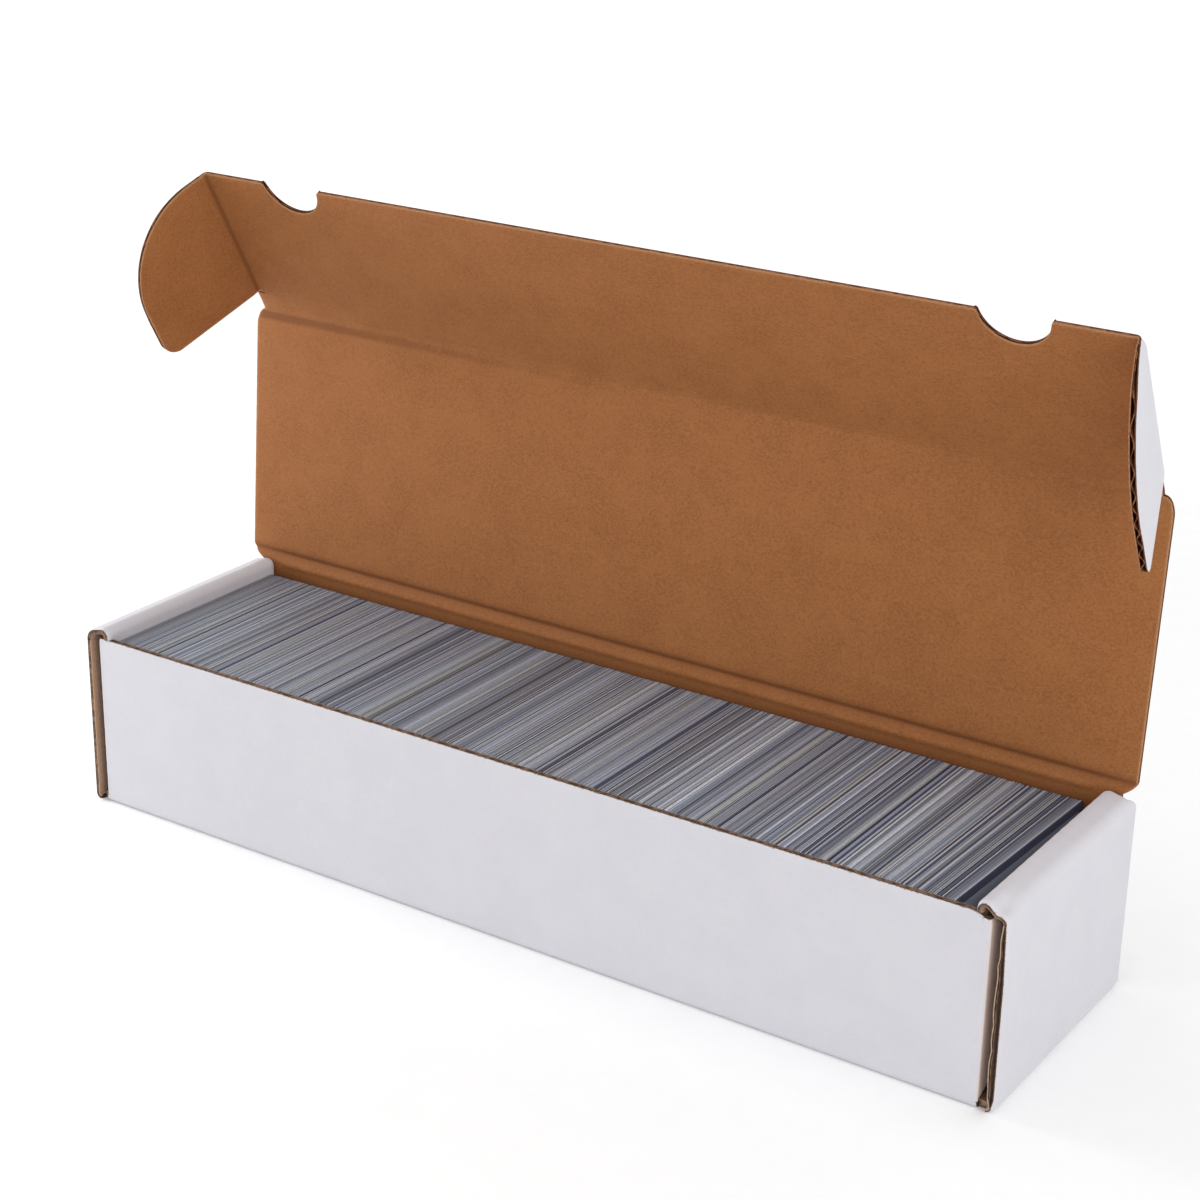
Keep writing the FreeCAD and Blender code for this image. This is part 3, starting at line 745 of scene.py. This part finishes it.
def corner_flap(word, side, end_word, end):
    """A flap that folds sharply off a long wall's end. A circle rounds its free end at the top and bottom.

    The middle of the board turns by a tiny arc; the outer liner swells there, which makes the fold's edge
    crisp. At the front left the top edge slopes down from the front wall's. Only the start of the packed
    flap is drawn, a short way in from the wall.
    """
    reach, bend, turn, swell, tuck_in, slope, step = 7.35, 9.0, 0.25, 0.31, 0.2, 5.0, 1.4
    lead = HALF - turn
    moves = [(lead, 0.0, 3), (turn * np.pi / 2, -90.0, 10)]
    arc, arc_normals, run = trace((-FLAP_X, -HINGE_Y), 180.0, moves)
    end_y = reach - INNER_Y
    rounding = end_y - bend + bend * np.sin(np.linspace(0, np.pi / 2, 13))
    straight = spaced(arc[-1, 1], end_y, step, rounding)[1:]
    tail = np.stack([np.full(len(straight), arc[-1, 0]), straight], 1)
    points = np.concatenate([arc, tail])
    normals = np.concatenate([arc_normals, np.broadcast_to(arc_normals[-1], tail.shape)])
    past = points[:, 1] - (end_y - bend)
    drop = bend - np.sqrt(bend**2 - past.clip(0, bend) ** 2)
    share = np.linspace(0, 1, steps_of(CORNER_TOP - FLOOR_Z) + 1)[None, :]
    folding = (np.arange(len(points)) < len(arc))[:, None]
    level = FRONT_TOP if (end_word, word) == ("front", "left") else CORNER_TOP
    top = np.interp(points[:, 1] + HINGE_Y, [0.0, slope], [level, CORNER_TOP]) - drop
    low, high = np.where(folding, BOARD, (FLOOR_Z + drop)[:, None]), top[:, None]
    heights = low + (high - low) * share
    middle, out = carry(points, normals, heights, (-side * X, end * -Y, Z))
    free = (bend - past)[:, None]
    shut = np.minimum(np.where(folding, FAR, heights - low), high - heights)
    turned = share_of(run, lead, run[-1]).clip(0, 1)
    outside, inside = np.full(len(points), HALF), np.full(len(points), HALF)
    outside[: len(arc)] += swell * np.sin(np.pi * turned)
    inside[: len(arc) + 1] = tuck_in
    made = board(middle, out, heights, None, shut, free, 0.0, inside[:, None], outside[:, None])
    corner = f"{end_word}_{word}_corner"
    panel(f"{corner}_board", made, f"{corner}_flap", finishes=FLAP_FINISHES)


# The lid, the tuck flap and the ears.


def hinge_score(distance, along):
    """Depth pressed into the inside near the hinge: a rolled crest below the axis and a groove just above it.

    Both are bell curves. The crest dies out between its ends and the rims.
    """
    crest_rise, crest_at, crest_wide = 0.8, -3.0, 1.7
    groove_depth, groove_at, groove_wide = 0.85, 0.9, 1.15
    crest = -crest_rise * bell(distance, crest_at, crest_wide)
    groove = groove_depth * bell(distance, groove_at, groove_wide)
    ends = np.interp(np.abs(along), CREST_ENDS, [1.0, 0.0])
    return crest[:, None] * ends + groove[:, None]


def hinge_shade(distance):
    """Painted shade near the hinge: in the groove and, below the crest, a painted shadow towards the cards.
    """
    depth, groove_at, groove_wide = 0.7, 1.6, 2.6
    below_from, below_to = -3.2, -7.6
    groove = depth * bell(distance, groove_at, groove_wide)
    return (groove + depth * share_of(distance, below_from, below_to).clip(0, 1))[:, None]


def hinge_strip():
    """The strip of board that bends where the lid hangs on the rear wall."""
    bent, grip = 2.0, 1.5
    moves = [(CREST_REACH - bent / 2, 0.0, 22), (bent, LEAN, 14), (SCORE_REACH - bent / 2, 0.0, 12)]
    points, normals, run = trace((-HINGE_Y, HINGE_Z - CREST_REACH), 90.0, moves)
    distance = run - CREST_REACH
    half_width = lid_width(distance)[:, None]
    along = sheet_places(HINGE_END, CREST_ENDS) / HINGE_END
    middle, out = carry(points, normals, along * half_width, (-Y, Z, X))
    cut = (1 - np.abs(along)) * half_width
    press = hinge_score(distance, along * HINGE_END)
    # Painted shade in the hinge groove and a painted shadow above the cards.
    outside, score_and_painted_shade = pressed(cut, LID_PRESS), hinge_shade(distance)
    made = board(middle, out, distance[:, None] + HINGE_Z, None, FAR, cut, press, HALF, outside, score_and_painted_shade)
    piece = board_piece("hinge_crease", made, BOARD_FINISHES)
    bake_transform(piece)


def lid_width(height):
    """Half the lid's width: a quarter sine widens it at the hinge, and an ellipse rounds its far corners."""
    wide, tall = SIDE_X - EAR_END, 7.0
    rise_from, rise_to = -3.2, 2.4
    past = (height - (LID_REACH - tall)).clip(0, tall) / tall
    rise = np.sin(np.pi / 2 * share_of(height, rise_from, rise_to).clip(0, 1))
    return HINGE_END + (SIDE_X - HINGE_END) * rise - wide * (1 - np.sqrt(1 - past**2))


def lid_panel():
    """The lid, a sheet between its two creases, bowed a little."""
    bow = 0.35
    low, high = SCORE_REACH, LID_REACH - SCORE_BAND
    run = np.linspace(low, high, steps_of(high - low) + 1)
    along = sheet_places(SIDE_X) / SIDE_X
    half_width = lid_width(run)[:, None]
    points = np.stack([run, np.zeros_like(run)], 1)
    normals = np.broadcast_to([0.0, 1.0], points.shape)
    middle, out = carry(points, normals, along * half_width, (LID_UP, LID_OUT, X), HINGE)
    middle = sway(middle, out, bow, share_of(run, low, high), share_of(along, -1, 1))
    cut = (1 - np.abs(along)) * half_width
    outside = pressed(cut, LID_PRESS)
    # The hinge groove's painted shade fades out along the lid.
    made = board(middle, out, run[:, None] + HINGE_Z, cut=cut, outside=outside, score_and_painted_shade=hinge_shade(run))
    panel("lid_board", made, "lid_panel", "lid")


def tuck_strip():
    """The strip of board that bends where the tuck flap hangs on the lid, scored deepest at its left end.

    The score is a flat-bottomed bell curve, with a ridge beside it that is a narrow one.
    """
    length, grip = 4.0, 2.0
    dip_depth, dip_at, dip_wide, dip_shade = 0.3, -2.4, 1.9, 0.9
    ridge_rise, ridge_at, ridge_wide = 0.12, 1.2, 0.9
    bent = length / np.radians(TUCK_FOLD) * np.tan(np.radians(TUCK_FOLD / 2))
    moves = [(SCORE_BAND - bent, 0.0, 14), (length, -TUCK_FOLD, 18), (SCORE_REACH - bent, 0.0, 6)]
    points, normals, run = trace((LID_REACH - SCORE_BAND, 0.0), 0.0, moves)
    distance = run - (SCORE_BAND - bent) - length / 2
    half_width = np.where(distance < 0, lid_width(LID_REACH + distance), EAR_END)[:, None]
    along = sheet_places(SIDE_X) / SIDE_X
    middle, out = carry(points, normals, along * half_width, (LID_UP, LID_OUT, X), HINGE)
    cut = (1 - np.abs(along)) * half_width
    fade = np.interp(along, [-1.0, -0.3, 0.2, 1.0], [1.0, 0.35, 0.12, 0.3])
    dip = np.exp(-(((distance - dip_at) / dip_wide) ** 4))[:, None] * fade
    ridge = bell(distance, ridge_at, ridge_wide)[:, None]
    across = distance[:, None] + LID_REACH + HINGE_Z
    press, outside = dip_depth * dip - ridge_rise * ridge, pressed(cut, LID_PRESS)
    # The dip also darkens the liner: the score's own crushed darkening, with painted shade in its groove.
    made = board(middle, out, across, None, FAR, cut, press, HALF, outside, dip_shade * dip)
    piece = board_piece("tuck_crease", made, BOARD_FINISHES)
    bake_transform(piece)


def tuck_flap():
    """The tuck flap. A circle cuts its free edge down at each thumb notch, and a small one rounds each lip.

    Below the ears it runs on to its ends. Along its free edge the outer liner is pressed in by a bell curve.
    """
    middle_x, radius, rise, lip = 143.6, 12.7, 1.0, 1.2
    bow, slit, notch_press = -0.3, 0.4, 0.6
    end = EAR_X - SCORE_REACH
    half = np.sqrt((radius + lip) ** 2 - (rise + lip) ** 2)
    touch = half * radius / (radius + lip)
    opening, lip_turn = np.arcsin(touch / radius), np.arcsin((half - touch) / lip)
    notch = radius * np.sin(np.linspace(-opening, opening, 31))
    lips = half - lip * np.sin(np.linspace(0, lip_turn, 6))
    marks = middle_x + np.concatenate([notch, lips, -lips])
    marks = np.concatenate([marks, [EAR_END], EAR_END - PRESS_STEPS[:-1]])
    along = np.unique(np.concatenate([np.linspace(-end, end, 29), marks, -marks]).round(4))
    aside = np.abs(np.abs(along) - middle_x)
    cupped = rise - np.sqrt((radius**2 - aside**2).clip(0))
    lipped = np.sqrt((lip**2 - (half - aside) ** 2).clip(0)) - lip
    top = TUCK_HEIGHT + np.where(aside < touch, cupped, np.where(aside < half, lipped, 0.0))
    within = aside < half
    share = np.linspace(0, 1, steps_of(TUCK_HEIGHT - SCORE_REACH) + 1)[:, None]
    run = SCORE_REACH + (top[None, :] - SCORE_REACH) * share
    middle = SCORE + along[None, :, None] * X + run[..., None] * TUCK_UP
    out = np.broadcast_to(TUCK_OUT, middle.shape)
    middle = sway(middle, out, bow, share[:, 0], share_of(along, -end, end))
    left = top[None, :] - run
    shut, cut = np.where(within[None, :], FAR, left), np.where(within[None, :], left, FAR)
    ending = np.where(run < EAR_START, EAR_END - np.abs(along), FAR)
    cut = np.minimum(cut, ending)
    widths = np.abs((along[1:] + along[:-1]) / 2)[None, :]
    cells = (widths < end) | ((run[:-1, :-1] + run[1:, 1:]) / 2 < EAR_START - slit)
    depth = np.where(within[None, :], notch_press, EDGE_PRESS)
    outside = pressed(left, depth) + pressed(ending, LID_PRESS) - HALF
    made = board(middle, out, run + TUCK_PHASE, cells, shut, cut, outside=outside)
    panel("tuck_board", made, "tuck_flap", "tuck")


def ear_frame(side):
    """The ear's crease on the tuck flap's end, its direction away from the crease and its outward normal."""
    angle = np.radians(EAR_FOLD)
    away = side * np.cos(angle) * X - np.sin(angle) * TUCK_OUT
    out = np.cos(angle) * TUCK_OUT + side * np.sin(angle) * X
    return SCORE + side * EAR_X * X, away, out


def ear_strip(word, side):
    """The strip of board that bends where an ear hangs on the tuck flap, from the ear's lower edge up."""
    radius, grip = 2.3, 1.8
    dip_depth, dip_at, dip_wide = 0.35, 0.3, 1.3
    lead = SCORE_REACH - radius * np.tan(np.radians(EAR_FOLD / 2))
    moves = [(lead, 0.0, 6), (radius * np.radians(EAR_FOLD), -EAR_FOLD, 18), (lead, 0.0, 6)]
    points, normals, run = trace((-SCORE_REACH, 0.0), 0.0, moves)
    distance = run - run[-1] / 2
    along = np.linspace(EAR_START, TUCK_HEIGHT, steps_of(TUCK_HEIGHT - EAR_START) + 1)
    crease, away, _ = ear_frame(side)
    middle, out = carry(points, normals, along, (side * X, TUCK_OUT, TUCK_UP), crease)
    dip = bell(distance, dip_at, dip_wide)[:, None]
    shut = np.minimum(TUCK_HEIGHT - along, along - EAR_START)[None, :]
    outside = pressed(TUCK_HEIGHT - along, EDGE_PRESS)[None, :]
    across = along[None, :] + TUCK_PHASE
    # The dip also darkens the liner along the crease: painted shade, with the score's own crushed darkening.
    made = board(middle, out, across, None, shut, press=dip_depth * dip, outside=outside, score_and_painted_shade=dip)
    piece = board_piece(f"{word}_ear_crease", made, BOARD_FINISHES)
    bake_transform(piece)


def ear(word, side):
    """An ear. A large circle rounds its outer edge and a small one its tip. Its lower edge rises a little.

    The outer liner is pressed in by a bell curve along the edge, less towards the tip.
    """
    tip, corner, rise, root = 6.5, 36.5, 0.4, 1.6
    low_z, tip_a, corner_a = EAR_START + rise + tip, EAR_REACH - tip, EAR_REACH - corner
    bend = EAR_REACH - (EAR_REACH - SCORE_REACH) * (1 - np.sin(np.linspace(0, np.pi / 2, 61)))
    out_a = np.unique(np.concatenate([bend, [tip_a, corner_a]]).round(4))
    sloped = EAR_START + rise * (out_a - root) / (tip_a - root)
    rounded = low_z - np.sqrt((tip**2 - (out_a - tip_a).clip(0) ** 2).clip(0))
    low = np.where(out_a < tip_a, sloped, rounded)
    high = TUCK_HEIGHT - corner + np.sqrt((corner**2 - (out_a - corner_a).clip(0) ** 2).clip(0))
    share = np.linspace(0, 1, steps_of(TUCK_HEIGHT - EAR_START) + 1)[None, :]
    heights = low[:, None] + (high - low)[:, None] * share
    crease, away, normal = ear_frame(side)
    middle = crease + out_a[:, None, None] * away + heights[..., None] * TUCK_UP
    out = np.broadcast_to(normal, middle.shape)
    beside = np.minimum(heights - low[:, None], high[:, None] - heights)
    cut = np.minimum((EAR_REACH - out_a)[:, None], beside)
    least = 0.55 if word == "left" else 0.15
    depth = np.interp(out_a, [6.0, 22.0], [EDGE_PRESS, least])[:, None]
    outside = pressed(high[:, None] - heights, depth)
    made = board(middle, out, heights + TUCK_PHASE, cut=cut, outside=outside)
    panel(f"{word}_ear_board", made, f"{word}_ear", f"{word}_ear")


# The cards.

CARD_BLOCKS = 8
CARDS_IN_BLOCK = 126
CARD_SHARE = 0.9
CARD_CORNER = 1.6
CORNER_POINTS = 5
STOCKS = np.array(
    [
        (0.340, 0.372, 0.434),
        (0.286, 0.320, 0.387),
        (0.316, 0.340, 0.405),
        (0.338, 0.360, 0.366),
        (0.249, 0.290, 0.372),
        (0.386, 0.421, 0.480),
    ]
)
ODD_STOCKS = np.array(
    [(0.030, 0.040, 0.090), (0.045, 0.045, 0.055), (0.62, 0.61, 0.62), (0.080, 0.100, 0.180)]
)


def card_outline(width, height):
    """The outline of a rounded card as a ring of points: each corner is a quarter circle."""
    angle = np.linspace(0, np.pi / 2, CORNER_POINTS)[None, :] + np.arange(4)[:, None] * np.pi / 2
    signs = np.array([(1, 1), (-1, 1), (-1, -1), (1, -1)])
    across = signs[:, :1] * (width / 2 - CARD_CORNER) + CARD_CORNER * np.cos(angle)
    up = height / 2 + signs[:, 1:] * (height / 2 - CARD_CORNER) + CARD_CORNER * np.sin(angle)
    return across.ravel(), up.ravel()


def card_stocks(number, draw):
    """A colour for each card of a stack: drawn for a few cards together, with some odd ones between them."""
    count = CARDS_IN_BLOCK
    cluster = np.cumsum(draw.random(count) < 0.42)
    kind = draw.integers(0, len(STOCKS), cluster[-1] + 1)[cluster]
    lightness = draw.normal(1.0, 0.10 + 0.040 * number, cluster[-1] + 1).clip(0.2, 1.9)[cluster]
    stock = STOCKS[kind] * (lightness * draw.normal(1.0, 0.1, count).clip(0.7, 1.3))[:, None]
    odd = (draw.random(cluster[-1] + 1) < 0.018 * number)[cluster] | (draw.random(count) < 0.08)
    return np.where(odd[:, None], ODD_STOCKS[draw.integers(0, len(ODD_STOCKS), count)], stock)


def card_block(number, draw):
    """A stack of single cards on edge. Each is a rounded outline carried through the card's thickness.

    The cards differ a little in height, in place across the box and in lean, and the lean dies out at the
    ends. In the last stack the front ends are drawn together, evenly more from card to card.
    """
    margin, drawn_in, most_lean, lean_wave, sharp_angle = 0.5, 3.2, 0.14, 9.0, 30.0
    low, high = (np.array(corner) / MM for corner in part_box(f"card_block_{number}"))
    count = CARDS_IN_BLOCK
    pitch = (high[0] - low[0]) / count
    order = np.arange(count)
    shift = draw.normal(0, 0.16, count).clip(-0.4, 0.4)
    lower = np.abs(draw.normal(0, 0.10, count)).clip(0, 0.45) + 0.5 * (draw.random(count) < 0.03)
    lean = most_lean * np.sin(np.pi * order / (count - 1)) * np.sin(order / lean_wave + number)
    width, tall = high[1] - low[1] - margin, high[2] - low[2]
    across, up = card_outline(width, tall)
    ring = len(across)
    scale = 1 - lower / tall
    heights = low[2] + up[None, :] * scale[:, None]
    middle_x = low[0] + (order + 0.5) * pitch
    tilt = lean[:, None] * (heights - low[2]) / tall
    faces_x = np.stack([middle_x - pitch * CARD_SHARE / 2, middle_x + pitch * CARD_SHARE / 2], 1)
    points = np.empty((count, 2, ring, 3))
    most = drawn_in * (number == CARD_BLOCKS)
    drawn = most * ((order + 1) / count)[:, None] * (0.5 - across / width)[None, :]
    points[..., 0] = faces_x[:, :, None] + (tilt - drawn)[:, None, :]
    points[..., 1] = (across[None, :] + shift[:, None])[:, None, :]
    points[..., 2] = heights[:, None, :]
    first = (np.arange(count) * 2 * ring)[:, None] + np.arange(ring)[None, :]
    following = np.roll(first, -1, axis=1)
    sides = np.stack([first, following, following + ring, first + ring], -1).reshape(-1, 4)
    faces = sides.tolist() + first[:, ::-1].tolist() + (first + ring).tolist()
    marks = np.concatenate([np.zeros(len(sides), int), np.ones(2 * count, int)])
    mesh = mesh_of(f"cards_{number}", points.reshape(-1, 3), faces, marks, CARD_FINISHES, sharp_angle)
    colours = np.ones((count, 2 * ring, 4), np.float32)
    colours[..., :3] = card_stocks(number, draw)[:, None, :]
    kept = mesh.attributes.new("stock", "FLOAT_COLOR", "POINT")
    kept.data.foreach_set("color", colours.ravel())
    piece = linked(f"cards_{number}", mesh)
    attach(piece, f"cards_{number}")
    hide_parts(f"card_block_{number}")


# Building.

bottom_panel()
front_wall()
rear_wall()
for word, side in SIDES.items():
    outer_wall(word, side)
    rim(word, side)
    inner_wall(word, side)
    corner_flap(word, side, "front", -1)
    corner_flap(word, side, "rear", 1)
hinge_strip()
lid_panel()
tuck_strip()
tuck_flap()
for word, side in SIDES.items():
    ear_strip(word, side)
    ear(word, side)
draw = np.random.default_rng(11)
for number in range(1, CARD_BLOCKS + 1):
    card_block(number, draw)

# The studio.


def studio():
    """A wide pale floor, an even white surround and two soft lamps: each a place, a size and a power."""
    half, surround_strength, target = 60.0, 0.86, np.array([0.0, 0.0, 0.08])
    mesh = bpy.data.meshes.new("studio_floor")
    corners = np.array([(-half, -half, 0.0), (half, -half, 0.0), (half, half, 0.0), (-half, half, 0.0)])
    mesh.from_pydata(corners, [], [(0, 1, 2, 3)])
    mesh.materials.append(studio_floor())
    linked("studio_floor", mesh)
    world = bpy.data.worlds.new("studio")
    world.use_nodes = True
    surround = world.node_tree.nodes["Background"]
    surround.inputs["Color"].default_value = (1.0, 1.0, 1.0, 1.0)
    surround.inputs["Strength"].default_value = surround_strength
    bpy.context.scene.world = world
    lamps = {
        "right": ((1.6, -0.9, 1.1), 1.4, 11.8),
        "left": ((-0.75, -0.075, 0.2), 0.3, 3.4),
    }
    for name, (place, size, power) in lamps.items():
        lamp = bpy.data.lights.new(name, "AREA")
        lamp.shape = "DISK"
        lamp.size = size
        lamp.energy = power
        holder = linked(name, lamp)
        holder.matrix_world = facing(np.array(place), place - target)


def facing(place, back, roll=0.0):
    """A placement whose Z axis points back, with X level and then turned by roll."""
    back = back / np.linalg.norm(back)
    right = np.cross(Z, back)
    right = right / np.linalg.norm(right)
    up = np.cross(back, right)
    turned = np.cos(roll) * right + np.sin(roll) * up
    placed = np.eye(4)
    placed[:3, 0], placed[:3, 1], placed[:3, 2] = turned, np.cross(back, turned), back
    placed[:3, 3] = place
    return Matrix(placed.tolist())


def camera():
    """The camera at the photograph's viewing angle."""
    focal_pixels, photo_pixels = 2518.0, 1200.0
    azimuth, elevation, roll = np.radians((33.489, 21.618, 1.062))
    level = np.array([np.sin(azimuth), -np.cos(azimuth), 0.0])
    back = np.cos(elevation) * level + np.sin(elevation) * Z
    place = MM * np.array([450.84, -668.28, 430.12])
    lens = bpy.data.cameras.new("camera")
    lens.sensor_width = 36.0
    lens.lens = focal_pixels * lens.sensor_width / photo_pixels
    holder = linked("camera", lens)
    holder.matrix_world = facing(place, back, roll)
    bpy.context.scene.camera = holder


studio()
camera()
bpy.context.scene.view_settings.view_transform = "Standard"
